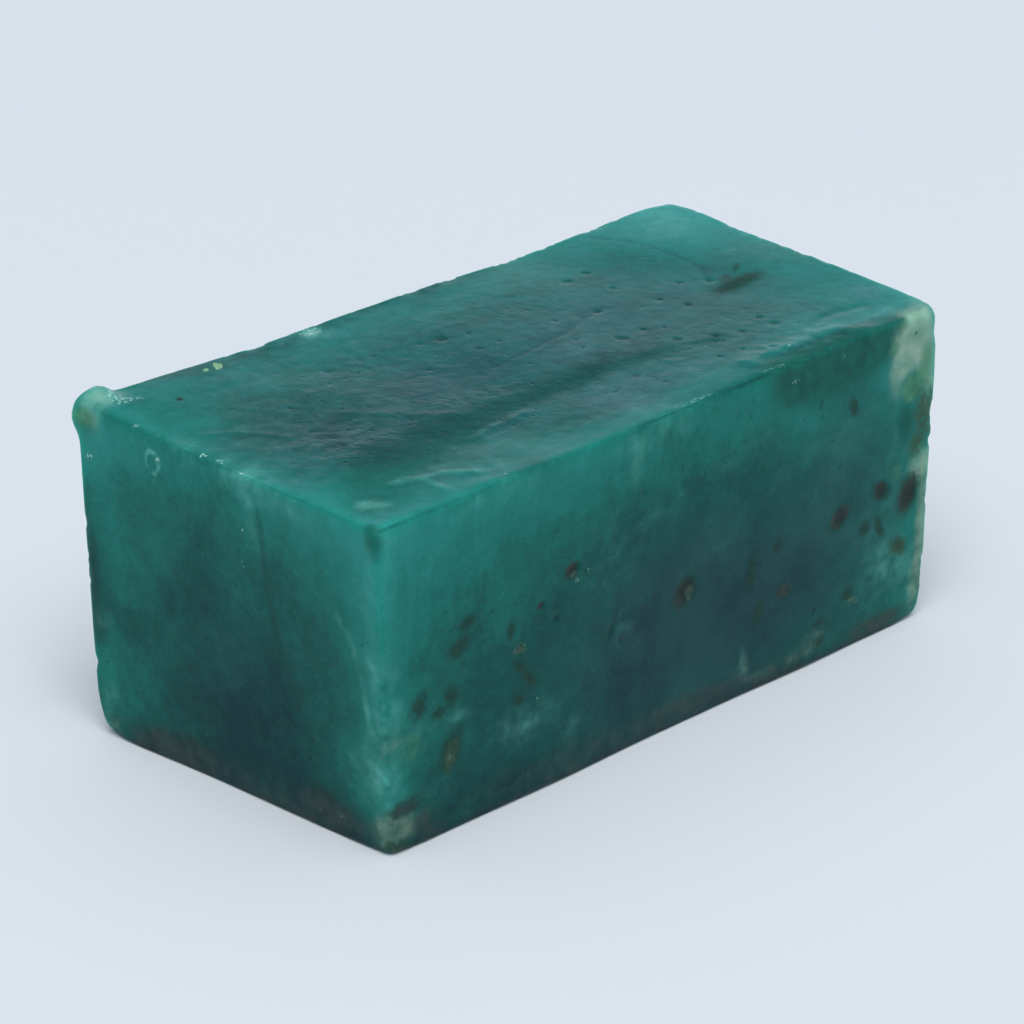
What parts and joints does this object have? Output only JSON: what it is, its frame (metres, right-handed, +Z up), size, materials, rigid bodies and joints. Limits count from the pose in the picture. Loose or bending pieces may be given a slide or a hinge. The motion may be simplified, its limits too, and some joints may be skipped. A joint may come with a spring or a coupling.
{
  "type": "rough emerald block",
  "caption": "Rough-sawn brick of cloudy teal-green emerald with worn edges and a small corner knob, lying on its flat underside.",
  "frame": {"origin": "on the flat underside, below the middle of the block's box", "axes": "+X along the block's length, +Y across its depth, +Z up; the end with the corner knob is at -X"},
  "size_m": [0.0702, 0.0354, 0.0304],
  "materials": {
    "emerald": "satin"
  },
  "bodies": {
    "root": {"emerald_block": "emerald"}
  },
  "joints": []
}
